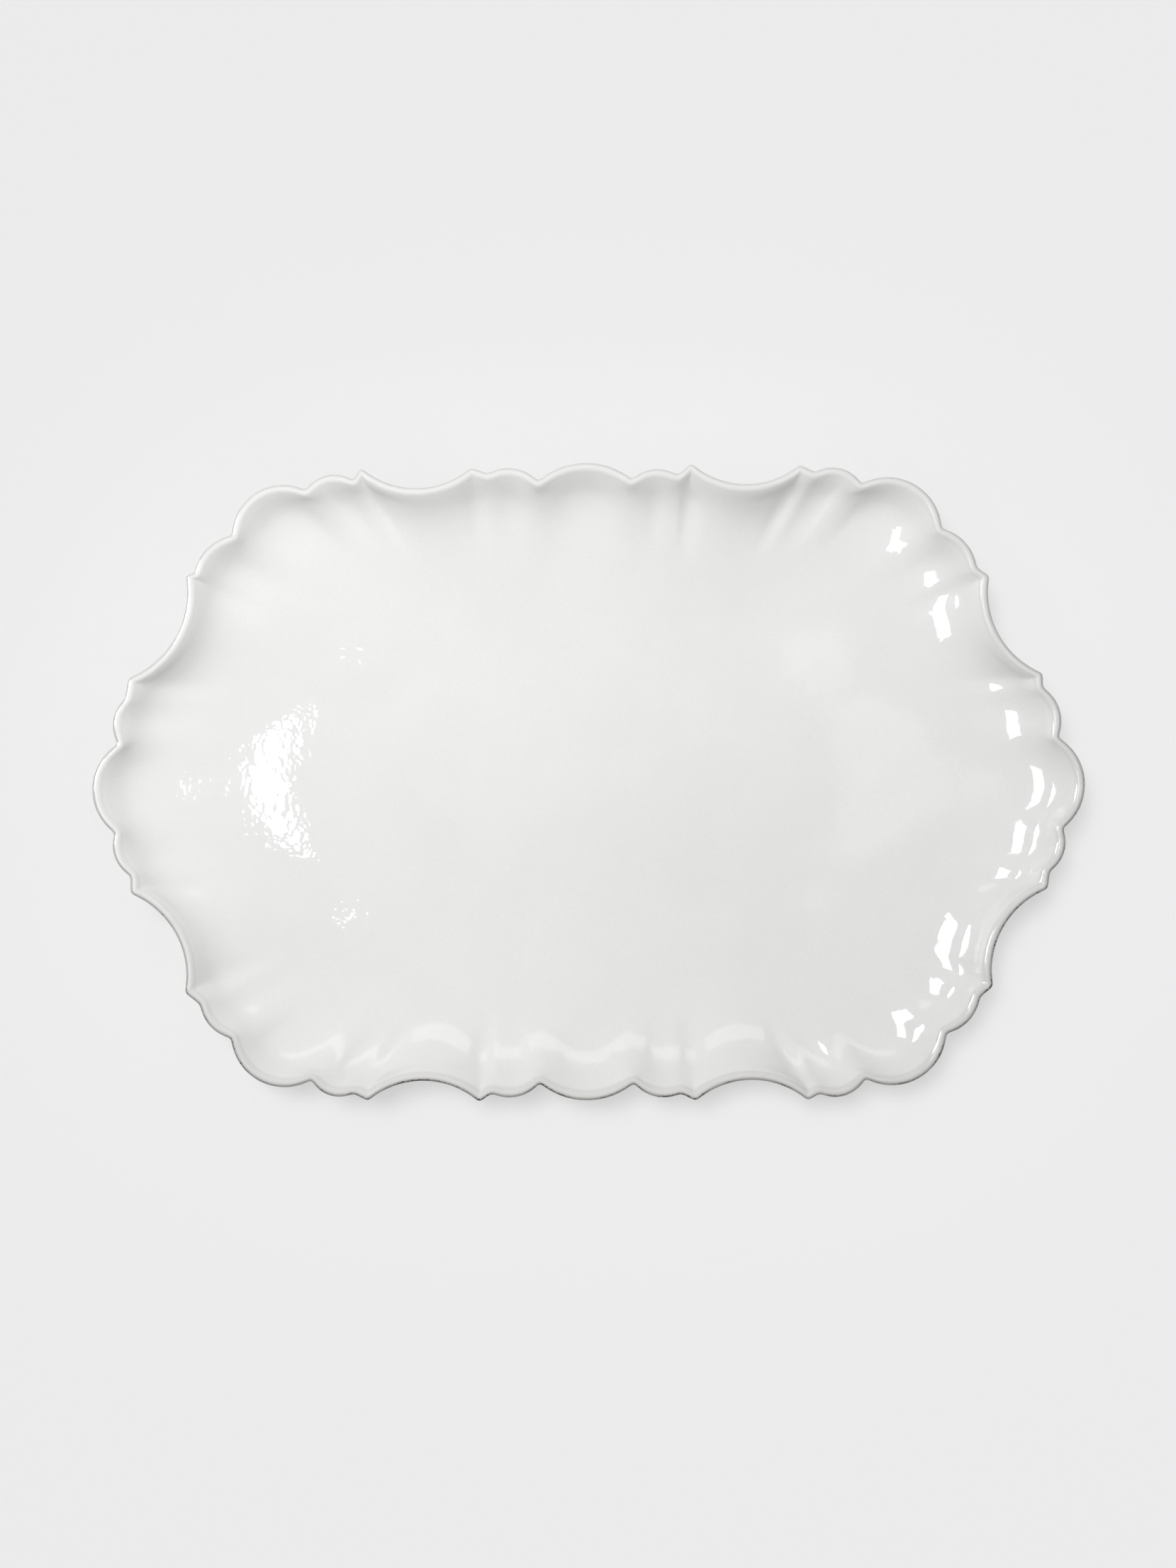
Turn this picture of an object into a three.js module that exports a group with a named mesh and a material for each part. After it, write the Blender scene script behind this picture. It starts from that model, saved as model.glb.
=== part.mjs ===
// A scalloped china serving platter: a pressed clay dish, a foot ring luted under it, and the white
// glaze poured over the face and the back. Millimetres, +Z up, the long axis along X, and the origin on
// the table under the middle of the dish.
import * as THREE from "three";

// Driving dimensions
const length = 460;
const width = 296;
const basinRise = 22; // how far the dish climbs from its flat middle to the edge
const basinCurve = 2.2; // 1 would be a straight slope, more keeps the middle flatter
const rimRise = 7.5; // the extra height of the turned-up rim
const endRise = 2.3; // how much higher the rim stands at the two ends
const footHeight = 5; // from the table to the glazed underside in the middle
const clayThickness = 4.8;
const glazeThickness = 0.6;

// The rim
const lipRadius = 2.7; // of the rounded edge, glaze included
const rimReach = 7; // how fast the rim falls away inside the lip
const rimRound = 3; // how softly that fall begins
const fluteLength = 46; // how far the lobes' hollows run in from the edge before they fade out
const endsFrom = 0.6; // where the rim starts to climb towards the ends, as a share of the half length
const endsFull = 0.9; // and where it has climbed
const glazeLap = 14; // how far in, under the lip, the face's glaze meets the back's

// The foot
const footShare = 0.46; // where the foot stands, from 0 at the flat middle to 1 at the edge
const footWidth = 7; // at its root
const footDraft = 0.8; // taken off each side between root and table
const bareFoot = 1.2; // the height of foot left without glaze

// The flat middle, as half sizes: the dish rises in every direction from this rounded oblong
const middleX = 45;
const middleY = 36;
const middleRound = 3.5; // 2 would be an ellipse, more is nearer to a box
const innerShare = 0.1; // the innermost ring of facets, on the scale of footShare

// Where the facets of the section meet, as distances inside the edge, and as degrees round the lip
const faceStops = [22, 14, 9, 5.5];
const faceRimEnd = 34; // what is left of the rim's own rise ends here
const lipStops = [90, 135, 180, 225];
const underStart = 7.5;
const backStop = 24;
const backRimEnd = 37;

// How far the outline is evened out, measured along it
const edgeSoftness = 1.3; // glaze rounding the points and the notches
const bowSoftness = 25; // the plain shape that the lobes are drawn on
const normalSoftness = 4; // the direction in which the lip is thick

// A quarter of the outline, from the lobe in the middle of the long side to the lobe in the middle of the
// end. Each corner is given as shares of the half length and half width, and the stretch that leaves it
// bows outwards, or inwards if negative, by a share of its own chord. The last number is its facets.
const corners = [
  { at: [0.095, 0.946], bow: 0.175, facets: 3 }, // small lobe
  { at: [0.191, 0.971], bow: 0, facets: 1 }, // flank of a point
  { at: [0.22, 0.998], bow: -0.187, facets: 4 }, // hollow of the long side
  { at: [0.443, 0.996], bow: 0, facets: 1 },
  { at: [0.468, 0.968], bow: 0.205, facets: 3 }, // small lobe
  { at: [0.559, 0.929], bow: 0.277, facets: 5 }, // corner lobe
  { at: [0.718, 0.79], bow: 0.16, facets: 3 }, // small lobe
  { at: [0.787, 0.674], bow: 0, facets: 1 },
  { at: [0.812, 0.649], bow: -0.181, facets: 4 }, // hollow of the slanting side
  { at: [0.923, 0.338], bow: 0, facets: 1 },
  { at: [0.925, 0.283], bow: 0.185, facets: 3 }, // small lobe
  { at: [0.951, 0.142], bow: 0.269, facets: 6 }, // lobe of the end
];
const sideLobe = { bow: 0.183, facets: 6 };
const outlineSteps = 2400; // even steps along the outline for the evening out

const glaze = new THREE.MeshStandardMaterial({ color: 0xf1f1ef, roughness: 0.08, metalness: 0 });
const clay = new THREE.MeshStandardMaterial({ color: 0x6b5a50, roughness: 0.9, metalness: 0 });

// The point at share t along a circular bow from a to b.
function onBow(a, b, bow, t) {
  const chord = b.clone().sub(a);
  const outwards = new THREE.Vector2(chord.y, -chord.x);
  const halfAngle = 2 * Math.atan(2 * Math.abs(bow));
  if (halfAngle === 0) return a.clone().addScaledVector(chord, t);
  const angle = halfAngle * (2 * t - 1);
  const along = 0.5 + Math.sin(angle) / (2 * Math.sin(halfAngle));
  const out = (Math.cos(angle) - Math.cos(halfAngle)) / (2 * Math.sin(halfAngle));
  return a.clone().addScaledVector(chord, along).addScaledVector(outwards, Math.sign(bow) * out);
}

// The stretches of the whole outline, anticlockwise from the end on +X.
function wholeOutline() {
  const place = (corner, x, y) =>
    new THREE.Vector2((x * corner.at[0] * length) / 2, (y * corner.at[1] * width) / 2);
  const stretches = [];
  const last = corners.length - 1;
  for (const [x, y] of [[1, 1], [-1, 1], [-1, -1], [1, -1]]) {
    const fromEnd = x * y > 0; // every second quarter is walked from the end to the long side
    const order = fromEnd ? corners.slice().reverse() : corners;
    order.forEach((corner, i) => {
      const a = place(corner, x, y);
      if (i < last) {
        const shape = fromEnd ? order[i + 1] : corner;
        stretches.push({ a, b: place(order[i + 1], x, y), bow: shape.bow, facets: shape.facets });
      } else {
        const shape = fromEnd ? sideLobe : corner;
        const b = fromEnd ? place(corner, -x, y) : place(corner, x, -y);
        stretches.push({ a, b, bow: shape.bow, facets: shape.facets });
      }
    });
  }
  return stretches;
}

// The outline as even steps, and the step nearest to each facet's corner.
function evenOutline() {
  const fine = [];
  const marks = [];
  let walked = 0;
  const finePerFacet = 40;
  for (const { a, b, bow, facets } of wholeOutline()) {
    for (let i = 0; i < facets * finePerFacet; i++) {
      const p = onBow(a, b, bow, i / (facets * finePerFacet));
      if (fine.length) walked += p.distanceTo(fine[fine.length - 1].p);
      if (i % finePerFacet === 0) marks.push(walked);
      fine.push({ p, walked });
    }
  }
  const total = walked + fine[fine.length - 1].p.distanceTo(fine[0].p);
  fine.push({ p: fine[0].p, walked: total });
  const points = [];
  let k = 0;
  for (let i = 0; i < outlineSteps; i++) {
    const s = (i * total) / outlineSteps;
    while (fine[k + 1].walked < s) k++;
    const share = (s - fine[k].walked) / (fine[k + 1].walked - fine[k].walked);
    points.push(fine[k].p.clone().lerp(fine[k + 1].p, share));
  }
  const step = total / outlineSteps;
  return { points, step, marks: marks.map((s) => Math.round(s / step) % outlineSteps) };
}

// A closed line evened out by a bell-shaped average, softness millimetres wide.
function soften(points, step, softness) {
  const reach = Math.ceil((3 * softness) / step);
  const weights = [];
  for (let j = -reach; j <= reach; j++) weights.push(Math.exp(-0.5 * ((j * step) / softness) ** 2));
  const sum = weights.reduce((a, b) => a + b);
  const n = points.length;
  return points.map((_, i) => {
    const p = new THREE.Vector2();
    weights.forEach((w, j) => p.addScaledVector(points[(i + j - reach + n) % n], w / sum));
    return p;
  });
}

function scaledTo(points, halfX, halfY) {
  const x = Math.max(...points.map((p) => p.x));
  const y = Math.max(...points.map((p) => p.y));
  return points.map((p) => new THREE.Vector2((p.x * halfX) / x, (p.y * halfY) / y));
}

// A value held within half of the flat middle, with the corner rounded off
function held(value, half) {
  return (half * value) / (Math.abs(value) ** middleRound + half ** middleRound) ** (1 / middleRound);
}

// One ray for each facet corner of the outline: where it starts on the edge, the plain shape under the
// lobes, the point of the flat middle that it runs to, how long it is, and whether it is at an end.
function rays() {
  const { points, step, marks } = evenOutline();
  const edge = scaledTo(soften(points, step, edgeSoftness), length / 2, width / 2);
  const plain = soften(edge, step, bowSoftness);
  const smooth = soften(edge, step, normalSoftness);
  const n = edge.length;
  return marks.map((i) => {
    const tangent = smooth[(i + 1) % n].clone().sub(smooth[(i + n - 1) % n]).normalize();
    const middle = new THREE.Vector2(held(plain[i].x, middleX), held(plain[i].y, middleY));
    const towards = middle.clone().sub(plain[i]);
    return {
      edge: edge[i],
      plain: plain[i],
      inwards: new THREE.Vector2(-tangent.y, tangent.x),
      towards: towards.clone().normalize(),
      reach: towards.length(),
      ending: THREE.MathUtils.smoothstep((2 * Math.abs(plain[i].x)) / length, endsFrom, endsFull),
    };
  });
}

// The place in plan at distance d inside the edge: square to the edge at the lip, and along the ray
// further in, where the lobes have faded into the plain shape.
function inPlan(ray, d) {
  const fade = THREE.MathUtils.smoothstep(d, 0, fluteLength);
  const lobed = ray.edge.clone().sub(ray.plain).multiplyScalar(1 - fade);
  const far = ray.plain.clone().addScaledVector(ray.towards, d).add(lobed);
  const near = ray.edge.clone().addScaledVector(ray.inwards, d);
  return near.lerp(far, THREE.MathUtils.smoothstep(d, lipRadius / 2, 4 * lipRadius));
}

// The section through the rim lies in a plane of d, the distance inside the edge, and z before the rise
// of the basin and of the ends is added. Each station is a point with the direction out of the piece, and
// rim is how much of the rim's height it has.
const thickness = clayThickness + 2 * glazeThickness;
const wellZ = footHeight + thickness;
const onFace = (d) => {
  const s = d - lipRadius;
  const rim = Math.exp((-s * s) / (rimReach * (s + rimRound)));
  const height = rimRise * rim;
  const slope = (-height * (s * s + 2 * rimRound * s)) / (rimReach * (s + rimRound) ** 2);
  const steep = Math.hypot(1, slope);
  return { d, z: wellZ + height, outD: -slope / steep, outZ: 1 / steep, rim };
};
const onBack = (faceD) => {
  const { d, z, outD, outZ, rim } = onFace(faceD);
  return { d: d - outD * thickness, z: z - outZ * thickness, outD: -outD, outZ: -outZ, rim };
};
const onLip = (degrees) => {
  const a = THREE.MathUtils.degToRad(degrees);
  const centreZ = wellZ + rimRise - lipRadius;
  return {
    d: lipRadius * (1 + Math.cos(a)),
    z: centreZ + lipRadius * Math.sin(a),
    outD: Math.cos(a),
    outZ: Math.sin(a),
    rim: 1,
  };
};

// A ring of points through one station, sunk depth into the piece. d may depend on the ray.
function ring(theRays, station, depth = 0) {
  return theRays.map((ray) => {
    const { d, z, outD, outZ, rim } = typeof station === "function" ? station(ray) : station;
    const inside = d - outD * depth;
    const basin = basinRise * Math.max(0, 1 - inside / ray.reach) ** basinCurve;
    const ends = endRise * ray.ending * rim;
    const { x, y } = inPlan(ray, inside);
    return new THREE.Vector3(x, y, z - outZ * depth + basin + ends);
  });
}

// Triangles between two rings. They face away from the piece when the rings are taken in the order in
// which the section is walked: out over the face, round the lip and back under. One ring may
// have half as many points as the other.
function band(a, b) {
  if (a.length < b.length) return reversed(band(b, a));
  const halved = a.length > b.length;
  return b.flatMap((_, i) => {
    const j = (i + 1) % b.length;
    if (!halved) return [[a[i], b[i], b[j]], [a[i], b[j], a[j]]];
    const [first, second, third] = [a[2 * i], a[2 * i + 1], a[2 * j]];
    return [[first, b[i], second], [second, b[i], b[j]], [second, b[j], third]];
  });
}

function reversed(triangles) {
  return triangles.map(([p, q, r]) => [p, r, q]);
}

function walk(rings) {
  return rings.slice(1).flatMap((b, i) => band(rings[i], b));
}

// A cap from a ring to one point: the face's middle when the point comes first, the back's when last.
function cap(ringPoints, centre) {
  return ringPoints.map((p, i) => [centre, p, ringPoints[(i + 1) % ringPoints.length]]);
}

function piece(name, material, ...surfaces) {
  const points = surfaces.flat(2);
  const geometry = new THREE.BufferGeometry().setFromPoints(points);
  geometry.computeVertexNormals();
  const mesh = new THREE.Mesh(geometry, material);
  mesh.name = name;
  return mesh;
}

const allRays = rays();
const everySecond = allRays.filter((_, i) => i % 2 === 0);

// Stations of the face, from the middle out, and round the lip to where the two glazes meet. The stations
// between the rim and the foot spread over the room that there is.
const shareOfReach = (share, ray) => (1 - share) * ray.reach;
const flatFace = (share) => (ray) => onFace(shareOfReach(share, ray));
const flatBack = (share) => (ray) => onBack(shareOfReach(share, ray));
const besideFoot = (side, ray) => shareOfReach(footShare, ray) + (side * footWidth) / 2;
const betweenFace = (ray) => onFace((faceRimEnd + besideFoot(0, ray)) / 2);
const betweenBack = (ray) => onBack((backRimEnd + besideFoot(-1, ray)) / 2);
const faceWell = [flatFace(innerShare), flatFace(footShare), betweenFace, onFace(faceRimEnd)];
const faceRim = faceStops.map(onFace);
const lip = lipStops.map(onLip);
const underLip = [underStart, glazeLap].map(onBack);
const backRim = [glazeLap, backStop].map(onBack);
const backWell = [onBack(backRimEnd), betweenBack];

function faceRings(depth) {
  return [
    ...faceWell.map((s) => ring(everySecond, s, depth)),
    ...[...faceRim, ...lip, ...underLip].map((s) => ring(allRays, s, depth)),
  ];
}

function faceCap(rings, depth) {
  return cap(rings[0], new THREE.Vector3(0, 0, wellZ - depth));
}

// The root of the foot on the clay's underside, and the foot's sides below it. side is -1 for the
// outer side and 1 for the inner.
const footEdge = (side) => (ray) => onBack(besideFoot(side, ray));
function footSide(side, z, out = 0) {
  const root = ring(everySecond, footEdge(side), glazeThickness);
  return everySecond.map((ray, i) => {
    const down = 1 - z / root[i].z;
    const d = footEdge(side)(ray).d - side * footDraft * down + side * out;
    const { x, y } = inPlan(ray, d);
    return new THREE.Vector3(x, y, z);
  });
}

function footRoot(side) {
  return ring(everySecond, footEdge(side), glazeThickness);
}

// The corner in the glaze where the underside turns down the side of the foot
function glazedRoot(side) {
  return ring(everySecond, (ray) => {
    const edge = footEdge(side)(ray);
    return { ...edge, d: edge.d + side * glazeThickness };
  });
}

function faceGlaze() {
  const outer = faceRings(0);
  const inner = faceRings(glazeThickness);
  return piece(
    "face_glaze",
    glaze,
    faceCap(outer, 0),
    walk(outer),
    band(outer.at(-1), inner.at(-1)),
    reversed(walk(inner)),
    reversed(faceCap(inner, glazeThickness)),
  );
}

function backRings(depth) {
  return [
    ...backRim.map((s) => ring(allRays, s, depth)),
    ...backWell.map((s) => ring(everySecond, s, depth)),
  ];
}

function innerBack(depth) {
  return ring(everySecond, flatBack(innerShare), depth);
}

function backCap(depth) {
  return reversed(cap(innerBack(depth), new THREE.Vector3(0, 0, footHeight + depth)));
}

function clayBody() {
  const face = faceRings(glazeThickness);
  const back = [...backRings(glazeThickness), footRoot(-1), footRoot(1), innerBack(glazeThickness)];
  return piece(
    "clay_body",
    clay,
    faceCap(face, glazeThickness),
    walk(face),
    walk(back),
    backCap(glazeThickness),
  );
}

function footRing() {
  const around = [
    footRoot(-1),
    footSide(-1, bareFoot),
    footSide(-1, 0),
    footSide(1, 0),
    footSide(1, bareFoot),
    footRoot(1),
  ];
  return piece("foot_ring", clay, walk(around), reversed(band(footRoot(-1), footRoot(1))));
}

function backGlaze() {
  const outer = [...backRings(0), glazedRoot(-1), footSide(-1, bareFoot, glazeThickness)];
  const inner = [...backRings(glazeThickness), footRoot(-1), footSide(-1, bareFoot)];
  return piece(
    "back_glaze",
    glaze,
    walk(outer),
    band(outer.at(-1), inner.at(-1)),
    reversed(walk(inner)),
    reversed(band(outer[0], inner[0])),
  );
}

function footWellGlaze() {
  const outer = [footSide(1, bareFoot, glazeThickness), glazedRoot(1), innerBack(0)];
  const inner = [footSide(1, bareFoot), footRoot(1), innerBack(glazeThickness)];
  return piece(
    "foot_well_glaze",
    glaze,
    walk(outer),
    backCap(0),
    reversed(walk(inner)),
    reversed(backCap(glazeThickness)),
    reversed(band(outer[0], inner[0])),
  );
}

const platter = new THREE.Group();
platter.name = "platter";
platter.add(clayBody(), footRing(), faceGlaze(), backGlaze(), footWellGlaze());

export default platter;
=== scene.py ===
import math
import bpy
import numpy as np
from mathutils import Matrix, Vector


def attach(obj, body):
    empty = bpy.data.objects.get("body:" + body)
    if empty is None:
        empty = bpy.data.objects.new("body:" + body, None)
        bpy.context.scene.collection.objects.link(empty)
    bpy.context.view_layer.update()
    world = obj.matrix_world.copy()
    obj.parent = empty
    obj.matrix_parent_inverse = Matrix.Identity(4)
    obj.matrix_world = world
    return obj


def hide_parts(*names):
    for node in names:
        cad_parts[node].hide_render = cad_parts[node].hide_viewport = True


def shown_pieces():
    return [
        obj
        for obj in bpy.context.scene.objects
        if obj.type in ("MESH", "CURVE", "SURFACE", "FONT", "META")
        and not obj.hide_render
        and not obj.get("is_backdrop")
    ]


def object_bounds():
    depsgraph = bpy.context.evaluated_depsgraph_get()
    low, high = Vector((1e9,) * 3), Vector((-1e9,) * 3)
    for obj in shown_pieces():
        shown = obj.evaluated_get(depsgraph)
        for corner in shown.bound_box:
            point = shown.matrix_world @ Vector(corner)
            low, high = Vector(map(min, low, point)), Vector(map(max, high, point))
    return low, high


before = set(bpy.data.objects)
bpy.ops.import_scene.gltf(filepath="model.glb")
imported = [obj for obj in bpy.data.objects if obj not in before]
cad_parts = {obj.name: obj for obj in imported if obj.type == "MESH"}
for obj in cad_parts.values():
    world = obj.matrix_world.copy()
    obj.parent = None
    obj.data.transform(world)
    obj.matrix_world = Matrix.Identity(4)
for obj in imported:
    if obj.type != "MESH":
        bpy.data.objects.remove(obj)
cadLow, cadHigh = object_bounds()
mm = 0.001
print("frame loaded,", len(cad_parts), "nodes")

# The scalloped edge in four quarters. Each corner is in millimetres from the middle, from the big lobe
# of the long side to the big lobe of the end.
outline = {
    "farRight": [(21.2, 140.3), (42.3, 142.3), (48.6, 147.8), (99.0, 147.2), (106.0, 143.6), (127.7, 138.3),
                 (164.8, 117.5), (181.0, 99.3), (186.9, 95.5), (211.5, 50.4), (211.5, 43.8), (218.6, 20.7)],
    "farLeft": [(-22.4, 139.5), (-45.8, 142.9), (-53.7, 145.7), (-104.7, 145.7), (-108.2, 139.9),
                (-130.4, 135.3), (-164.4, 114.2), (-181.9, 96.4), (-185.8, 95.9), (-212.2, 48.1),
                (-213.8, 38.5), (-217.1, 17.7)],
    "nearRight": [(22.0, -139.7), (43.8, -144.5), (50.8, -148.0), (102.7, -147.8), (108.3, -144.5),
                  (129.4, -137.6), (167.0, -116.5), (182.5, -99.7), (188.6, -94.7), (213.8, -49.5),
                  (214.8, -41.3), (220.7, -21.5)],
    "nearLeft": [(-21.7, -139.7), (-43.9, -144.5), (-49.8, -148.5), (-101.4, -148.0), (-108.1, -144.5),
                 (-127.6, -138.2), (-164.8, -118.8), (-179.1, -103.2), (-186.2, -97.7), (-211.2, -51.8),
                 (-211.2, -43.6), (-218.5, -23.8)],
    # how far the edge bows out after each corner, as a share of the chord; inwards if negative
    "bows": [0.175, 0, -0.187, 0, 0.205, 0.277, 0.16, 0, -0.181, 0, 0.185, 0.269],
    "sideLobeBow": 0.183,
    "bowPoints": 120,
    "evenSteps": 6000,
    "turn": -0.395,  # degrees; squares the outline to the frame
    # how far the outline is evened out, in mm along it
    "edgeSoftness": 1.2,
    "innerSoftness": 7,  # the same outline where it runs in as flutes
    "bowSoftness": 25,  # the plain shape under the lobes
    "normalSoftness": 4,  # the direction that counts as inwards
    "lobeSoftness": 10,  # what the lobes are measured from when they are hollowed
    "scoopSoftness": 3,
    "bulgeLimit": 2.2,  # mm that a lobe counts as standing out, at most
    "endScoop": 0.5,  # how much of the hollowing is left at the two ends
    "hollowScoop": 0.3,  # and of the swelling behind the edge's hollows
    "columns": 780,
    "tightness": 5,  # mm; columns crowd where the edge curves tighter than this
    "mostCrowding": 2,
    "crowdWindow": 25,
}

# The section through the dish, in mm
dish = {
    "footHeight": 5,
    "clay": 4.8,
    "glaze": 0.6,
    "lipRadius": 2.7,
    "rimRise": 7.5,
    "rimReach": 5.9,  # how fast the rim falls away inside the lip
    "rimRound": 5.5,  # how softly that fall begins
    "endRise": 2.3,  # how much higher the rim stands at the two ends
    "endsFrom": 0.6,  # where it starts to climb, as a share of the half length
    "endsFull": 0.9,
    "basinRise": 22,
    "basinCurve": 2.2,
    "fluteLength": 46,
    "fluteSoftening": 7,  # from the edge to where the flutes take their own, softer outline
    "lipLeave": 0.5,  # in lip radii: where the plan leaves the edge's own direction
    "lipLeft": 4,
    "scoop": 1.35,  # how deep the lobes are hollowed for each mm that they stand out
    "scoopAt": 13,
    "lipEnd": 205,  # degrees round the lip, from the crest at 90, where the underside takes over
    "underStart": 6.5,
    "lap": 14,
    "wellEdge": 40,  # from here in, the stations spread with the room there is
    "tailFall": 12,  # how soon the last of the rim's rise dies out past there
    "middleX": 45,
    "middleY": 36,
    "middleRound": 3.5,
    "wobble": 0.35,  # unevenness left by hand pressing
    "wobbleSize": 70,
    "wobbleSeed": 7,
    "weld": 0.002,
}

# How many stations the section has: fine where it shows, plain where the glaze covers it
fineSteps = {"middle": 4, "well": 14, "wall": 26, "lip": 12, "under": 3}
plainSteps = {"middle": 3, "well": 8, "wall": 14, "lip": 8, "under": 2}
wallCrowding = 1.7  # packs the wall's stations towards the lip

foot = {
    "share": 0.46,  # where it stands, from 0 at the flat middle to 1 at the edge
    "width": 7,
    "draft": 0.8,
    "bare": 1.2,
    "fillet": 2.2,
    "filletSteps": 7,
    "sideSteps": (0.35, 0.7, 1),
    "bevel": 0.7,
    "bevelKnee": 0.3,
}


def addNode(tree, kind, inputs=(), **settings):
    node = tree.nodes.new(kind)
    for name, value in settings.items():
        setattr(node, name, value)
    for key, value in dict(inputs).items():
        if isinstance(value, bpy.types.NodeSocket):
            tree.links.new(value, node.inputs[key])
        else:
            node.inputs[key].default_value = value
    return node


def addMath(tree, operation, *values):
    return addNode(tree, "ShaderNodeMath", dict(enumerate(values)), operation=operation).outputs[0]


def addVectorMath(tree, operation, *values, **named):
    outputs = addNode(tree, "ShaderNodeVectorMath", {**dict(enumerate(values)), **named},
                      operation=operation).outputs
    return outputs["Value" if operation in ("DOT_PRODUCT", "LENGTH") else "Vector"]


def addRange(tree, value, start, end, atStart=0, atEnd=1, kind="LINEAR"):
    inputs = {"Value": value, "From Min": start, "From Max": end, "To Min": atStart, "To Max": atEnd}
    return addNode(tree, "ShaderNodeMapRange", inputs, interpolation_type=kind).outputs[0]


def addMix(tree, kind, factor, first, second):
    socket, output = {"VECTOR": (4, 1), "RGBA": (6, 2)}[kind]
    inputs = {"Factor": factor, socket: first, socket + 1: second}
    return addNode(tree, "ShaderNodeMix", inputs, data_type=kind).outputs[output]


def addNoise(tree, place, size, detail=2):
    inputs = {"Vector": place, "Scale": 1 / (size * mm), "Detail": detail}
    return addNode(tree, "ShaderNodeTexNoise", inputs).outputs[0]


def linear(hexColour):
    channels = [int(hexColour[i:i + 2], 16) / 255 for i in (1, 3, 5)]
    return [c / 12.92 if c <= 0.04045 else ((c + 0.055) / 1.055) ** 2.4 for c in channels] + [1]


# Points along a circular bow from a towards b, without b itself
def bowedPoints(a, b, bow, count):
    chord = b - a
    outwards = np.array([chord[1], -chord[0]])
    half = 2 * math.atan(2 * abs(bow))
    t = np.arange(count)[:, None] / count
    if half == 0:
        return a + chord * t
    angle = half * (2 * t - 1)
    along = 0.5 + np.sin(angle) / (2 * math.sin(half))
    out = (np.cos(angle) - math.cos(half)) / (2 * math.sin(half))
    return a + chord * along + outwards * out * np.sign(bow)


def wholeOutline():
    bows = outline["bows"]
    loop, bowList = [], []
    for name in ("farRight", "farLeft", "nearLeft", "nearRight"):  # anticlockwise from the end on +X
        quarter = [np.array(p) for p in outline[name]]
        if name in ("farRight", "nearLeft"):
            loop += quarter[::-1]
            bowList += bows[:-1][::-1] + [outline["sideLobeBow"]]
        else:
            loop += quarter
            bowList += bows
    parts = [bowedPoints(p, loop[(i + 1) % len(loop)], bowList[i], outline["bowPoints"])
             for i, p in enumerate(loop)]
    turn = math.radians(outline["turn"])
    spin = np.array([[math.cos(turn), math.sin(turn)], [-math.sin(turn), math.cos(turn)]])
    return np.concatenate(parts) @ spin


def resampled(points, stations):
    ring = np.vstack([points, points[:1]])
    walked = np.concatenate([[0], np.cumsum(np.linalg.norm(np.diff(ring, axis=0), axis=1))])
    at = stations * walked[-1]
    return np.stack([np.interp(at, walked, ring[:, k]) for k in (0, 1)], axis=1), walked[-1]


def softened(points, step, softness):
    frequency = np.fft.fftfreq(len(points), step)
    keep = np.exp(-2 * (math.pi * softness * frequency) ** 2)
    return np.fft.ifft(np.fft.fft(points, axis=0) * keep[:, None], axis=0).real


def fitted(points, half):
    low, high = points.min(0), points.max(0)
    return (points - (low + high) / 2) * half / ((high - low) / 2)


# Where the columns stand along the even steps: closer together where the edge curves tightly
def columnPlaces(edge, step):
    even = len(edge)
    ahead = np.roll(edge, -1, 0) - edge
    bend = np.arctan2(ahead[:, 1], ahead[:, 0])
    turnHere = (np.diff(np.append(bend, bend[0])) + math.pi) % (2 * math.pi) - math.pi
    curvature = np.roll(turnHere, 1) / step
    crowd = 1 + np.minimum(np.abs(curvature) * outline["tightness"], outline["mostCrowding"])
    window = np.ones(outline["crowdWindow"]) / outline["crowdWindow"]
    crowd = np.convolve(np.tile(crowd, 3), window, "same")[even:2 * even]
    total = np.concatenate([[0], np.cumsum(crowd)])
    shares = np.arange(outline["columns"]) / outline["columns"]
    return np.interp(shares * total[-1], total, np.arange(even + 1))


# How far each point of the edge stands out as a lobe: the dish is hollowed behind it by this
def lobeBulge(edge, inwards, step, ending):
    lobeless = softened(edge, step, outline["lobeSoftness"])
    bulge = ((lobeless - edge) * inwards).sum(1)
    bulge = softened(bulge[:, None], step, outline["scoopSoftness"])[:, 0]
    bulge = outline["bulgeLimit"] * np.tanh(bulge / outline["bulgeLimit"])
    bulge *= 1 - (1 - outline["endScoop"]) * ending
    return np.where(bulge > 0, bulge, outline["hollowScoop"] * bulge)


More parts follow.
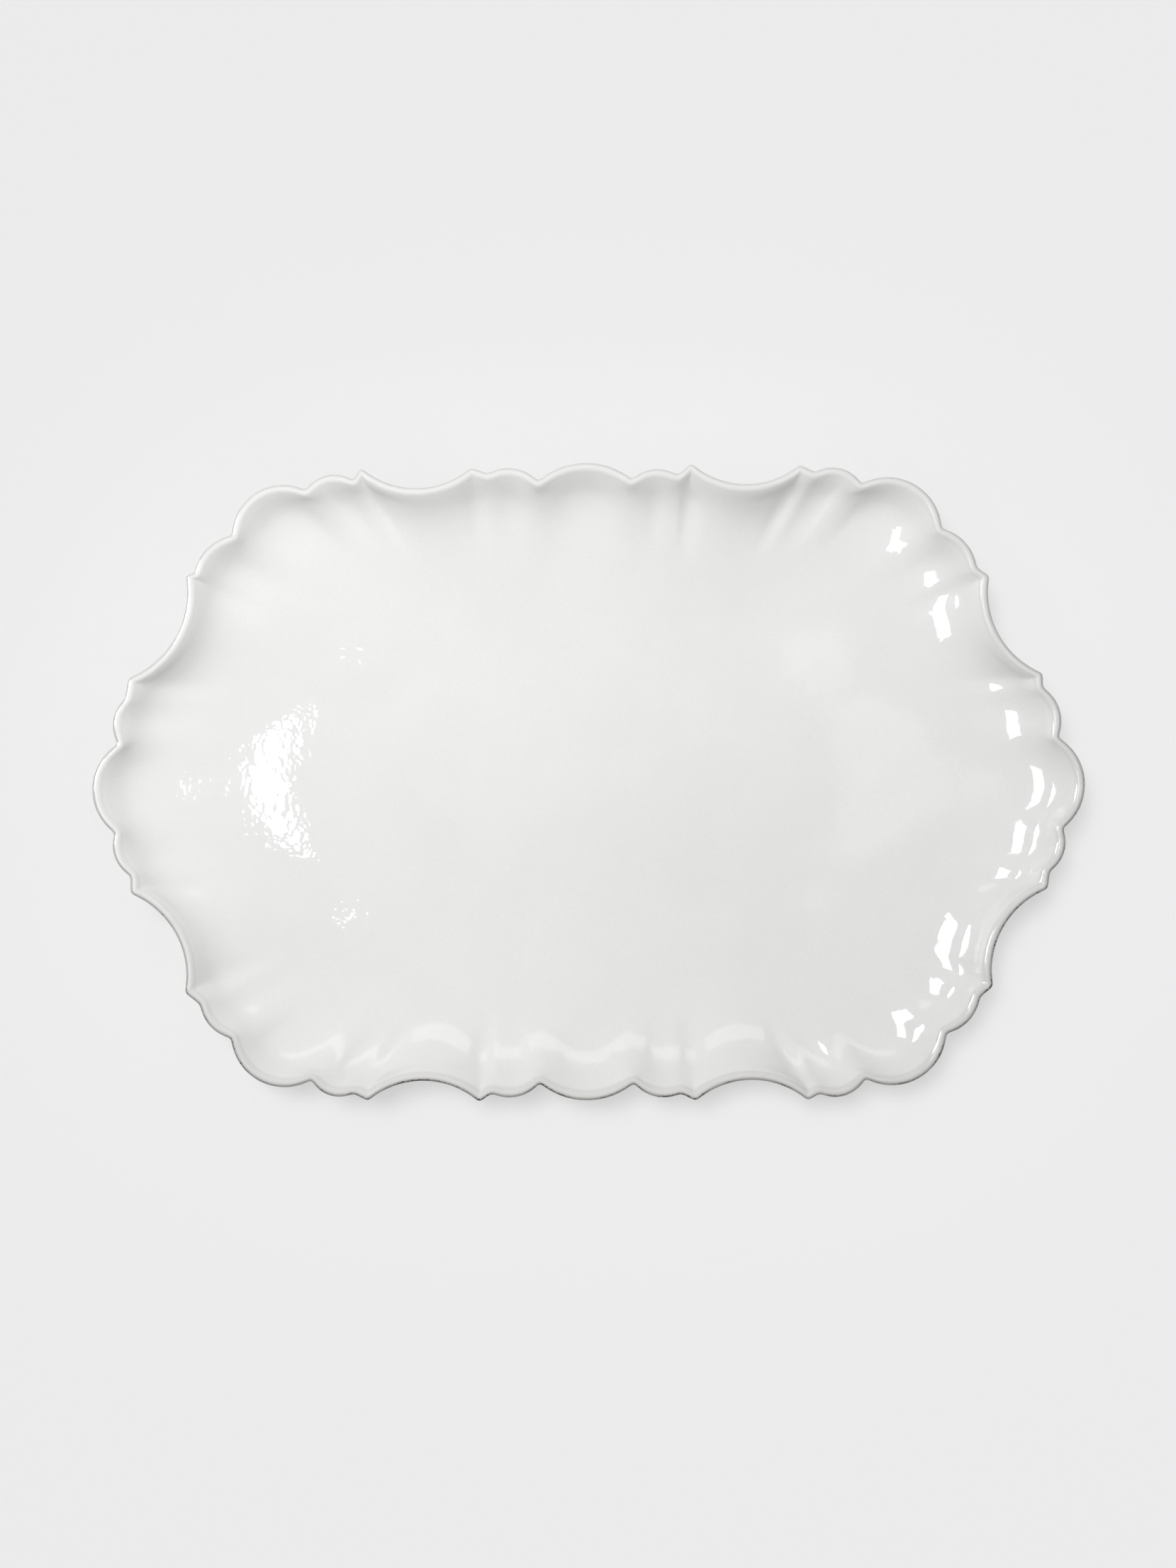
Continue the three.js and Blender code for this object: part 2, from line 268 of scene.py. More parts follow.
def outlineMesh():
    even = outline["evenSteps"]
    points, around = resampled(wholeOutline(), np.arange(even) / even)
    step = around / even
    half = np.array([(cadHigh[k] - cadLow[k]) / 2 / mm for k in (0, 1)])
    edge = fitted(softened(points, step, outline["edgeSoftness"]), half)
    inner = softened(edge, step, outline["innerSoftness"])
    plain = softened(edge, step, outline["bowSoftness"])
    smooth = softened(edge, step, outline["normalSoftness"])
    tangent = np.roll(smooth, -1, 0) - np.roll(smooth, 1, 0)
    tangent /= np.linalg.norm(tangent, axis=1)[:, None]
    inwards = np.stack([-tangent[:, 1], tangent[:, 0]], axis=1)
    core = np.array([dish["middleX"], dish["middleY"]])
    power = dish["middleRound"]
    middle = core * plain / (np.abs(plain) ** power + core ** power) ** (1 / power)
    endward = np.abs(plain[:, 0]) / half[0]
    ending = np.clip((endward - dish["endsFrom"]) / (dish["endsFull"] - dish["endsFrom"]), 0, 1)
    ending = ending * ending * (3 - 2 * ending)
    pick = columnPlaces(edge, step)

    def at(values):
        wrapped = np.concatenate([values, values[:1]])
        if values.ndim == 1:
            return np.interp(pick, np.arange(even + 1), wrapped)
        columns = [np.interp(pick, np.arange(even + 1), wrapped[:, k]) for k in (0, 1)]
        return np.stack(columns + [np.zeros(len(pick))], axis=1)

    return lineMesh("outline", at(edge) * mm, {
        "inner": at(inner) * mm,
        "plain": at(plain) * mm,
        "inwards": at(inwards),
        "middle": at(middle) * mm,
        "bulge": at(lobeBulge(edge, inwards, step, ending)) * mm,
        "ending": at(ending),
    })


def lineMesh(name, points, attributes):
    mesh = bpy.data.meshes.new(name)
    count = len(points)
    mesh.from_pydata([tuple(p) for p in points], [(i, i + 1) for i in range(count - 1)], [])
    for key, values in attributes.items():
        values = np.asarray(values, np.float32)
        kind, field = ("FLOAT", "value") if values.ndim == 1 else ("FLOAT_VECTOR", "vector")
        mesh.attributes.new(key, kind, "POINT").data.foreach_set(field, values.ravel())
    line = bpy.data.objects.new(name, mesh)
    bpy.context.scene.collection.objects.link(line)
    line.hide_render = True
    return line


# Each station of a section is (depth from the edge, share of the reach, pull to the centre, height,
# level), where level 1 leaves out the rise of the basin.
thickness = dish["clay"] + 2 * dish["glaze"]
wellHeight = dish["footHeight"] + thickness


# The rim's height at a depth, and its surface's direction as (towards the middle, up)
def rimAt(depth):
    s = depth - dish["lipRadius"]
    u = s + dish["rimRound"]
    height = dish["rimRise"] * math.exp(-s * s / (dish["rimReach"] * u))
    fall = height * (1 - (dish["rimRound"] / u) ** 2) / dish["rimReach"]
    steep = math.hypot(1, fall)
    return height, fall / steep, 1 / steep


def facePoint(depth, sink):
    height, outD, outZ = rimAt(depth)
    return depth - outD * sink, wellHeight + height - outZ * sink


def lipPoint(degrees, sink):
    r = dish["lipRadius"]
    a = math.radians(degrees)
    return r + (r - sink) * math.cos(a), wellHeight + dish["rimRise"] - r + (r - sink) * math.sin(a)


# Round the lip, then along a curve that meets the underside in its own direction
def lipStations(sink, steps):
    rows = [lipPoint(a, sink) for a in np.linspace(90, dish["lipEnd"], steps["lip"])]
    a = math.radians(dish["lipEnd"])
    start, end = np.array(rows[-1]), np.array(facePoint(dish["underStart"], thickness - sink))
    leave = np.array([-math.sin(a), math.cos(a)])
    outD, outZ = rimAt(dish["underStart"])[1:]
    arrive = np.array([outZ, -outD])
    third = np.linalg.norm(end - start) / 3
    handles = [start, start + leave * third, end - arrive * third, end]
    for t in np.linspace(0, 1, steps["under"] + 2)[1:-1]:
        weights = [(1 - t) ** 3, 3 * t * (1 - t) ** 2, 3 * t * t * (1 - t), t ** 3]
        rows.append(tuple(sum(w * handle for w, handle in zip(weights, handles))))
    rows.append(tuple(end))
    return [(d, 0, 0, z, 0) for d, z in rows]


# The face from the centre out to the lip
def faceStations(sink, steps):
    base = wellHeight - sink
    rows = [(0, 1, pull, base, 0) for pull in np.linspace(1, 0, steps["middle"])[:-1]]
    edge = dish["wellEdge"]
    rimLeft = facePoint(edge, 0)[1] - wellHeight
    for share in np.linspace(1, 0, steps["well"])[:-1]:
        rows.append((edge * (1 - share), share, 0, base + rimLeft * (1 - share) ** dish["tailFall"], 0))
    lip = dish["lipRadius"]
    for depth in (lip + (edge - lip) * np.linspace(1, 0, steps["wall"]) ** wallCrowding)[:-1]:
        d, z = facePoint(depth, sink)
        rows.append((d, 0, 0, z, 0))
    return rows


def underStations(sink, depths):
    return [(d, 0, 0, z, 0) for d, z in (facePoint(depth, thickness - sink) for depth in depths)]


def footSide(side, skin, rootSink):
    root = dish["footHeight"] + rootSink + dish["basinRise"] * foot["share"] ** dish["basinCurve"]
    half = foot["width"] / 2 + skin
    f = foot["fillet"]
    rows = []
    for t in np.radians(np.linspace(0, 90, foot["filletSteps"])):
        rows.append((side * (half + f - f * math.sin(t)), root - f + f * math.cos(t)))
    for down in foot["sideSteps"]:
        z = root - f + (foot["bare"] - root + f) * down
        rows.append((side * (half - foot["draft"] * down), z))
    return [(d, 1 - foot["share"], 0, z, 1) for d, z in rows]


def sectionMesh(name, rows):
    values = np.array(rows, float)
    points = np.stack([values[:, 0] * mm, np.zeros(len(rows)), values[:, 3] * mm], axis=1)
    rim = [rimAt(max(depth, dish["lipRadius"]))[0] / dish["rimRise"] if share == 0 else 0
           for depth, share in values[:, :2]]
    return lineMesh(name, points, {"share": values[:, 1], "pull": values[:, 2], "level": values[:, 4],
                                   "rim": rim})


# What the sweep asks for, with the values that every piece gives it
sweepInputs = {
    "Outline": ("NodeSocketObject", None),
    "Section": ("NodeSocketObject", None),
    "Flute length": ("NodeSocketFloat", dish["fluteLength"] * mm),
    "Flute softening": ("NodeSocketFloat", dish["fluteSoftening"] * mm),
    "Lip radius": ("NodeSocketFloat", dish["lipRadius"] * mm),
    "Leave from": ("NodeSocketFloat", dish["lipRadius"] * dish["lipLeave"] * mm),
    "Leave by": ("NodeSocketFloat", dish["lipRadius"] * dish["lipLeft"] * mm),
    "Scoop": ("NodeSocketFloat", dish["scoop"]),
    "Scoop at": ("NodeSocketFloat", dish["scoopAt"] * mm),
    "End rise": ("NodeSocketFloat", dish["endRise"] * mm),
    "Basin rise": ("NodeSocketFloat", dish["basinRise"] * mm),
    "Basin curve": ("NodeSocketFloat", dish["basinCurve"]),
    "Wobble": ("NodeSocketFloat", dish["wobble"] * mm),
    "Wobble size": ("NodeSocketFloat", dish["wobbleSize"] * mm),
    "Seed": ("NodeSocketFloat", dish["wobbleSeed"]),
    "Weld": ("NodeSocketFloat", dish["weld"] * mm),
    "Material": ("NodeSocketMaterial", None),
}


# Carries a section round the outline: a grid with a column for each point of the outline and a row for
# each station, whose ends meet and are welded
def sweepTree():
    tree = bpy.data.node_groups.new("platterSweep", "GeometryNodeTree")
    for name, (kind, _) in sweepInputs.items():
        tree.interface.new_socket(name, in_out="INPUT", socket_type=kind)
    tree.interface.new_socket("Geometry", in_out="OUTPUT", socket_type="NodeSocketGeometry")
    given = addNode(tree, "NodeGroupInput").outputs

    def maths(operation, *values):
        return addMath(tree, operation, *values)

    def vectors(operation, *values, **named):
        return addVectorMath(tree, operation, *values, **named)

    def smooth(value, start, end, atStart=0, atEnd=1):
        return addRange(tree, value, start, end, atStart, atEnd, "SMOOTHSTEP")

    rail = addNode(tree, "GeometryNodeObjectInfo", {"Object": given["Outline"]}).outputs["Geometry"]
    section = addNode(tree, "GeometryNodeObjectInfo", {"Object": given["Section"]}).outputs["Geometry"]
    around = addNode(tree, "GeometryNodeAttributeDomainSize", {0: rail}).outputs["Point Count"]
    stations = addNode(tree, "GeometryNodeAttributeDomainSize", {0: section}).outputs["Point Count"]
    grid = addNode(tree, "GeometryNodeMeshGrid", {"Vertices X": maths("ADD", around, 1),
                                                  "Vertices Y": stations}).outputs["Mesh"]
    index = addNode(tree, "GeometryNodeInputIndex").outputs[0]
    column = maths("MODULO", maths("FLOOR", maths("DIVIDE", index, stations)), around)
    row = maths("MODULO", index, stations)

    # a field of the outline at this column, or of the section at this row
    def sampled(source, at, name, kind="FLOAT"):
        if name == "position":
            value = addNode(tree, "GeometryNodeInputPosition").outputs[0]
        else:
            value = addNode(tree, "GeometryNodeInputNamedAttribute", {"Name": name},
                            data_type=kind).outputs[0]
        return addNode(tree, "GeometryNodeSampleIndex", {"Geometry": source, "Value": value, "Index": at},
                       data_type=kind, domain="POINT").outputs[0]

    edge = sampled(rail, column, "position", "FLOAT_VECTOR")
    plain = sampled(rail, column, "plain", "FLOAT_VECTOR")
    place = sampled(section, row, "position", "FLOAT_VECTOR")
    place = addNode(tree, "ShaderNodeSeparateXYZ", {0: place}).outputs

    # the depth of this station on this ray
    ray = vectors("SUBTRACT", sampled(rail, column, "middle", "FLOAT_VECTOR"), plain)
    reach = vectors("LENGTH", ray)
    depth = maths("MULTIPLY_ADD", sampled(section, row, "share"), reach, place["X"])

    # in plan: square to the edge at the lip, along the ray and losing the lobes further in
    lobed = addMix(tree, "VECTOR", smooth(depth, 0, given["Flute softening"]), edge,
                   sampled(rail, column, "inner", "FLOAT_VECTOR"))
    kept = smooth(depth, 0, given["Flute length"], 1, 0)
    far = vectors("MULTIPLY_ADD", vectors("NORMALIZE", ray), depth, plain)
    far = vectors("MULTIPLY_ADD", vectors("SUBTRACT", lobed, plain), kept, far)
    near = vectors("MULTIPLY_ADD", sampled(rail, column, "inwards", "FLOAT_VECTOR"), depth, edge)
    leaving = smooth(depth, given["Leave from"], given["Leave by"])
    plan = addMix(tree, "VECTOR", leaving, near, far)
    plan = vectors("SCALE", plan, Scale=maths("SUBTRACT", 1, sampled(section, row, "pull")))

    # the height: the section's own, the rise of the basin, the unevenness and the hollows of the lobes
    left = maths("MAXIMUM", maths("SUBTRACT", 1, maths("DIVIDE", depth, reach)), 0)
    basin = maths("MULTIPLY", maths("POWER", left, given["Basin curve"]), given["Basin rise"])
    noise = addNode(tree, "ShaderNodeTexNoise",
                    {"Vector": plan, "W": given["Seed"], "Scale": maths("DIVIDE", 1, given["Wobble size"]),
                     "Detail": 1}, noise_dimensions="4D").outputs[0]
    lift = maths("MULTIPLY_ADD", maths("SUBTRACT", noise, 0.5), given["Wobble"], basin)
    scoop = maths("MULTIPLY", smooth(depth, given["Lip radius"], given["Scoop at"]), kept)
    scoop = maths("MULTIPLY", maths("MULTIPLY", scoop, given["Scoop"]), sampled(rail, column, "bulge"))
    lift = maths("SUBTRACT", lift, scoop)
    taller = maths("MULTIPLY", sampled(rail, column, "ending"), given["End rise"])
    lift = maths("MULTIPLY_ADD", taller, sampled(section, row, "rim"), lift)
    free = maths("SUBTRACT", 1, sampled(section, row, "level"))
    height = maths("MULTIPLY_ADD", lift, free, place["Z"])
    flat = addNode(tree, "ShaderNodeSeparateXYZ", {0: plan}).outputs
    point = addNode(tree, "ShaderNodeCombineXYZ", {"X": flat["X"], "Y": flat["Y"], "Z": height}).outputs[0]

    # the materials read the depth as inset
    mesh = addNode(tree, "GeometryNodeStoreNamedAttribute",
                   {"Geometry": grid, "Name": "inset", "Value": depth},
                   data_type="FLOAT", domain="POINT").outputs[0]
    mesh = addNode(tree, "GeometryNodeSetPosition", {"Geometry": mesh, "Position": point}).outputs[0]
    mesh = addNode(tree, "GeometryNodeMergeByDistance",
                   {"Geometry": mesh, "Distance": given["Weld"]}).outputs[0]
    mesh = addNode(tree, "GeometryNodeFlipFaces", {"Mesh": mesh}).outputs[0]
    mesh = addNode(tree, "GeometryNodeSetShadeSmooth", {"Geometry": mesh}).outputs[0]
    mesh = addNode(tree, "GeometryNodeRealizeInstances", {"Geometry": mesh}).outputs[0]
    mesh = addNode(tree, "GeometryNodeSetMaterial",
                   {"Geometry": mesh, "Material": given["Material"]}).outputs[0]
    addNode(tree, "NodeGroupOutput", {0: mesh})
    return tree


def sweptPiece(name, rows, material, node):
    section = sectionMesh(name + "Section", rows)
    holder = bpy.data.objects.new(name + "Holder", bpy.data.meshes.new(name + "Holder"))
    bpy.context.scene.collection.objects.link(holder)
    sweep = holder.modifiers.new("sweep", "NODES")
    sweep.node_group = sweepGroup
    own = {"Outline": rail, "Section": section, "Material": material}
    for item in sweepGroup.interface.items_tree:
        if item.in_out == "INPUT":
            sweep[item.identifier] = own[item.name] if item.name in own else float(sweepInputs[item.name][1])
    bpy.context.view_layer.update()
    evaluated = holder.evaluated_get(bpy.context.evaluated_depsgraph_get())
    mesh = bpy.data.meshes.new_from_object(evaluated)
    piece = bpy.data.objects.new(name, mesh)
    bpy.context.scene.collection.objects.link(piece)
    for line in (holder, section):
        bpy.data.objects.remove(line)
    mesh.update()
    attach(piece, "root")
    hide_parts(node)
    print("made", name, len(mesh.vertices), "points")


def emptyMaterial(name):
    material = bpy.data.materials.new(name)
    material.use_nodes = True
    return material, material.node_tree, material.node_tree.nodes["Principled BSDF"]


# Tin glaze poured over dark stoneware and fired glossy: a milky white with a faint swell in its shine, a few
# pinholes, and grey freckles of clay where it has run thin over the lip. The lip's grey is thin glaze all
# round, with painted shade that grows towards the near side. Sizes are in mm.
glazeLook = {
    "white": "#e6e6e5",
    "cloud": "#e4e4e3",  # where the coat is a little thinner
    "cloudSize": 34,
    "cloudRange": (0.35, 0.65),
    "grain": 0.9,
    "grainRange": (0.3, 0.7),
    "grainDepth": 0.035,
    # grey of glaze run thin over the lip; scaled by the near-side mask it is also painted shade
    "thinGlazeAndShade": "#a8a5a1",
    "clay": "#4d4843",
    "edgeWidth": 2.6,
    "rollFrom": 3.9,  # the rounded lip, greyed where the glaze drains off and by the painted shade on the near side
    "rollWidth": 5.2,
    "rollThin": 0.24,
    # painted shade: the lip's grey grows towards the near side, which faces away from the light
    "nearShadeTowards": (0.15, -1, 0),
    "nearShadeFrom": -100,
    "nearShadeBy": 120,
    "nearShadeLeast": 0.4,
    "freckle": 0.9,
    "freckleMore": 0.14,
    "freckleRange": (0.5, 0.58),
    "frecklePatch": 13,
    "patchRange": (0.42, 0.6),
    "swell": 3.6,
    "swellHeight": 0.057,
    "ripple": 17,
    "rippleHeight": 0.1,
    "pinholeGap": 34,
    "pinholeShare": 0.33,  # of the cells
    "pinhole": 0.32,
    "pinholeRim": 0.5,  # where its floor ends, as a share of its radius
    "pinholeDepth": 0.12,
    "pinholeTone": "#77726d",
    "ior": 1.5,
    "roughness": 0.025,
    "thinRoughness": 0.3,
    "edgeDulling": 0.5,
}


def glazeMaterial(name):
    material, tree, shader = emptyMaterial(name)
    look = glazeLook
    place = addNode(tree, "ShaderNodeTexCoord").outputs["Object"]
    depth = addNode(tree, "ShaderNodeAttribute", attribute_name="inset").outputs["Fac"]

    # clouds and grain in the white
    clouds = addRange(tree, addNoise(tree, place, look["cloudSize"]), *look["cloudRange"])
    white = addMix(tree, "RGBA", clouds, linear(look["white"]), linear(look["cloud"]))
    grain = addNoise(tree, place, look["grain"], detail=3)
    grain = addRange(tree, grain, *look["grainRange"], 1 - look["grainDepth"], 1)
    white = addVectorMath(tree, "SCALE", white, Scale=grain)

    # thin over the lip, and painted shade: the grey grows towards the near side, which faces away from the
    # light, and brings more freckles there
    nearShade = addVectorMath(tree, "DOT_PRODUCT", place, Vector(look["nearShadeTowards"]).normalized())
    nearShade = addRange(tree, nearShade, look["nearShadeFrom"] * mm, look["nearShadeBy"] * mm, look["nearShadeLeast"], 1)
    edge = addRange(tree, depth, 0, look["edgeWidth"] * mm, 1, 0, "SMOOTHSTEP")
    roll = addRange(tree, depth, look["rollFrom"] * mm, look["rollWidth"] * mm, look["rollThin"], 0,
                    "SMOOTHSTEP")
    edge = addMath(tree, "MULTIPLY", addMath(tree, "MAXIMUM", edge, roll), nearShade)
    # the lip's grey: thin glaze all round, and painted shade where it grows on the near side
    colour = addMix(tree, "RGBA", edge, white, linear(look["thinGlazeAndShade"]))
    patch = addRange(tree, addNoise(tree, place, look["frecklePatch"], detail=1), *look["patchRange"])
    freckle = addNoise(tree, place, look["freckle"])
    freckle = addMath(tree, "MULTIPLY_ADD", freckle, edge, look["freckleMore"])
    freckle = addMath(tree, "MULTIPLY", addRange(tree, freckle, *look["freckleRange"]), patch)
    colour = addMix(tree, "RGBA", freckle, colour, linear(look["clay"]))

    # pinholes, in some of the cells
    cells = addNode(tree, "ShaderNodeTexVoronoi", {"Vector": place, "Scale": 1 / (look["pinholeGap"] * mm)})
    radius = look["pinhole"] / look["pinholeGap"]
    pin = addRange(tree, cells.outputs["Distance"], radius * look["pinholeRim"], radius, 1, 0)
    chosen = addNode(tree, "ShaderNodeSeparateColor", {0: cells.outputs["Color"]}).outputs[0]
    pin = addMath(tree, "MULTIPLY", pin, addMath(tree, "LESS_THAN", chosen, look["pinholeShare"]))
    colour = addMix(tree, "RGBA", pin, colour, linear(look["pinholeTone"]))
    tree.links.new(colour, shader.inputs["Base Color"])

    rough = addMath(tree, "MULTIPLY_ADD", edge, look["edgeDulling"], freckle)
    rough = addRange(tree, rough, 0, 1, look["roughness"], look["thinRoughness"])
    tree.links.new(rough, shader.inputs["Roughness"])
    shader.inputs["IOR"].default_value = look["ior"]

    # long ripples, the finer swell and the pinholes
    ripple = addNoise(tree, place, look["ripple"], detail=0)
    swell = addNoise(tree, place, look["swell"], detail=1)
    high = addMath(tree, "MULTIPLY", ripple, look["rippleHeight"])
    high = addMath(tree, "MULTIPLY_ADD", swell, look["swellHeight"], high)
    high = addMath(tree, "MULTIPLY_ADD", pin, -look["pinholeDepth"], high)
    bump = addNode(tree, "ShaderNodeBump", {"Height": high, "Distance": mm})
    tree.links.new(bump.outputs[0], shader.inputs["Normal"])
    return material


# Dark stoneware, pressed over a mould and left bare where the foot stands: dry and matte, with pale grog
clayLook = {
    "dark": "#453f3a",
    "pale": "#5c544d",
    "mottle": 9,
    "grogTone": "#8b8177",
    "grog": 0.9,
    "grogRange": (0.12, 0.24),
    "grogShare": 0.2,
    "tooth": 0.5,
    "toothHeight": 0.06,
    "roughness": 0.86,
    "ior": 1.5,
}


def clayMaterial(name):
    material, tree, shader = emptyMaterial(name)
    look = clayLook
    place = addNode(tree, "ShaderNodeTexCoord").outputs["Object"]
    mottle = addNoise(tree, place, look["mottle"], detail=4)
    colour = addMix(tree, "RGBA", mottle, linear(look["dark"]), linear(look["pale"]))
    cells = addNode(tree, "ShaderNodeTexVoronoi", {"Vector": place, "Scale": 1 / (look["grog"] * mm)})
    grog = addRange(tree, cells.outputs["Distance"], *look["grogRange"], 1, 0)
    chosen = addNode(tree, "ShaderNodeSeparateColor", {0: cells.outputs["Color"]}).outputs[0]
    grog = addMath(tree, "MULTIPLY", grog, addMath(tree, "LESS_THAN", chosen, look["grogShare"]))
    colour = addMix(tree, "RGBA", grog, colour, linear(look["grogTone"]))
    tree.links.new(colour, shader.inputs["Base Color"])
    shader.inputs["Roughness"].default_value = look["roughness"]
    shader.inputs["IOR"].default_value = look["ior"]
    tooth = addNoise(tree, place, look["tooth"], detail=3)
    bump = addNode(tree, "ShaderNodeBump", {"Height": tooth, "Distance": look["toothHeight"] * mm})
    tree.links.new(bump.outputs[0], shader.inputs["Normal"])
    return material


# Matte card that the dish stands on: flat and pale, with a trace of tooth
cardLook = {
    "tone": "#f0f0f0",
    "roughness": 0.9,
    "tooth": 1.5,
    "toothHeight": 0.02,
}


def cardMaterial(name):
    material, tree, shader = emptyMaterial(name)
    place = addNode(tree, "ShaderNodeTexCoord").outputs["Object"]
    shader.inputs["Base Color"].default_value = linear(cardLook["tone"])
    shader.inputs["Roughness"].default_value = cardLook["roughness"]
    tooth = addNoise(tree, place, cardLook["tooth"])
    bump = addNode(tree, "ShaderNodeBump", {"Height": tooth, "Distance": cardLook["toothHeight"] * mm})
    tree.links.new(bump.outputs[0], shader.inputs["Normal"])
    return material


whiteGlaze = glazeMaterial("tinGlaze")
darkClay = clayMaterial("darkStoneware")
print("made the glaze and the clay")

rail = outlineMesh()
sweepGroup = sweepTree()
print("made the outline,", len(rail.data.vertices), "columns")

# How the stations are shared out on the underside, and where the foot's fillet ends
underSteps = {"lap": 6, "back": 12, "well": 6, "footWell": 8}
glaze = dish["glaze"]
lapDepths = np.linspace(dish["underStart"], dish["lap"], underSteps["lap"])[1:]
backDepths = np.linspace(dish["lap"], dish["wellEdge"], underSteps["back"])
footReach = 1 - foot["share"]
footClear = foot["width"] / 2 + glaze + foot["fillet"]


def sunk(rows, sink):
    return [(d, share, pull, z + sink, level) for d, share, pull, z, level in rows]


def closed(outer, inner):
    return outer + inner[::-1]


# The glazed underside outside the foot, and the one inside it
outerWell = []
for t in np.linspace(0, 1, underSteps["well"] + 1)[1:]:
    outerWell.append((dish["wellEdge"] * (1 - t) - footClear * t, footReach * t, 0, dish["footHeight"], 0))
innerWell = [((1 - t) * footClear, footReach + foot["share"] * t, 0, dish["footHeight"], 0)
             for t in np.linspace(0, 1, underSteps["footWell"])[1:]]
centre = [(0, 1, pull, dish["footHeight"], 0) for pull in (0.5, 1)]

faceOuter = faceStations(0, fineSteps) + lipStations(0, fineSteps) + underStations(0, lapDepths)
faceInner = faceStations(glaze, plainSteps) + lipStations(glaze, plainSteps) + underStations(glaze, lapDepths)
sweptPiece("faceGlaze", closed(faceOuter, faceInner), whiteGlaze, "face_glaze")

backOuter = underStations(0, backDepths) + outerWell + footSide(-1, glaze, 0)
backInner = underStations(glaze, backDepths) + sunk(outerWell, glaze) + footSide(-1, 0, glaze)
backRows = closed(backOuter, backInner)
sweptPiece("backGlaze", backRows + backRows[:1], whiteGlaze, "back_glaze")

wellOuter = footSide(1, glaze, 0)[::-1] + innerWell + centre
wellInner = footSide(1, 0, glaze)[::-1] + sunk(innerWell + centre, glaze)
sweptPiece("footWellGlaze", wellInner[::-1] + wellOuter, whiteGlaze, "foot_well_glaze")

clayBack = underStations(glaze, backDepths[1:]) + sunk(outerWell + innerWell[1:] + centre, glaze)
sweptPiece("clayBody", faceInner + clayBack, darkClay, "clay_body")

sole = foot["width"] / 2 - foot["draft"]
bevel = foot["bevel"]
knee = bevel * foot["bevelKnee"]
corner = [(sole, bevel), (sole - knee, knee), (sole - bevel, 0)]
bottom = [(-d, footReach, 0, z, 1) for d, z in corner] + [(d, footReach, 0, z, 1) for d, z in corner[::-1]]
footRows = footSide(-1, 0, glaze) + bottom + footSide(1, 0, glaze)[::-1]
sweptPiece("footRing", footRows + footRows[:1], darkClay, "foot_ring")
bpy.data.objects.remove(rail)

# The card, and the sky over it. What the sky gives and what the glaze mirrors of it are set apart.
studio = {
    "cardSize": 8,  # metres from the middle to each side
    "sky": 0.1,
    "skyInGlaze": 0.35,
    "skyLift": 0.5,  # how much brighter the sky is towards skyFrom
    "skyFrom": (-0.45, 0.5, 0.74),
}

# Soft suns: strength, degrees across, and where each leans from
suns = {
    "floorFill": {"strength": 0.93, "across": 1, "lean": (0, 0, 1)},  # evens the card out round the dish
    "shadeLight": {"strength": 0.25 * math.pi, "across": 18, "lean": (-0.16, 0.2, 1)},  # the near shade
    "roomLight": {"strength": 0.3 * math.pi, "across": 110, "lean": (0, 0, 1)},
}

# Panels over the dish, in metres. The wide one lights the glaze, and the others only shine in it.
panels = {
    "wideBox": {"at": (-0.19, 0.3, 0.57), "aim": (-0.19, 0.3, 0), "size": (0.8, 0.8), "radiance": 2.2},
    "leftBox": {"at": (-0.68, 0.05, 1.2), "aim": (0.2, 0, 0), "size": (0.34, 0.75), "radiance": 8},
    "lowBox": {"at": (-0.6, 0.1, 0.3), "aim": (-0.23, 0, 0.04), "size": (0.32, 1.2), "radiance": 3.5,
               "spread": 30},  # degrees; a grid keeps it to the near edge
    "topBox": {"at": (0.545, 0, 3.5), "aim": (0.545, 0, 0), "size": (0.16, 0.46), "radiance": 8,
               "shape": "ELLIPSE"},
    "topCard": {"at": (-0.5, -0.05, 3.5), "aim": (-0.5, -0.05, 0), "size": (0.44, 0.6), "radiance": 0.7,
                "shape": "ELLIPSE"},
    "farCard": {"at": (0, 1.32, 1.38), "aim": (0, -0.13, 0), "size": (1.6, 0.5), "radiance": 1.5},
}

far = studio["cardSize"]
cardMesh = bpy.data.meshes.new("floor")
cardMesh.from_pydata([(-far, -far, 0), (far, -far, 0), (far, far, 0), (-far, far, 0)], [], [(0, 1, 2, 3)])
floor = bpy.data.objects.new("floor", cardMesh)
bpy.context.scene.collection.objects.link(floor)
cardMesh.materials.append(cardMaterial("paleCard"))
floor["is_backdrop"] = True

world = bpy.data.worlds.new("studio")
bpy.context.scene.world = world
world.use_nodes = True
sky = world.node_tree
towardsSky = addNode(sky, "ShaderNodeTexCoord").outputs["Generated"]
facing = addVectorMath(sky, "DOT_PRODUCT", towardsSky, Vector(studio["skyFrom"]).normalized())
brighter = addMath(sky, "MULTIPLY_ADD", facing, studio["skyLift"], 1)
mirrored = addNode(sky, "ShaderNodeLightPath").outputs["Is Glossy Ray"]
strength = addRange(sky, mirrored, 0, 1, studio["sky"], studio["skyInGlaze"])
sky.links.new(addMath(sky, "MULTIPLY", brighter, strength), sky.nodes["Background"].inputs["Strength"])
sky.nodes["Background"].inputs["Color"].default_value = (1, 1, 1, 1)

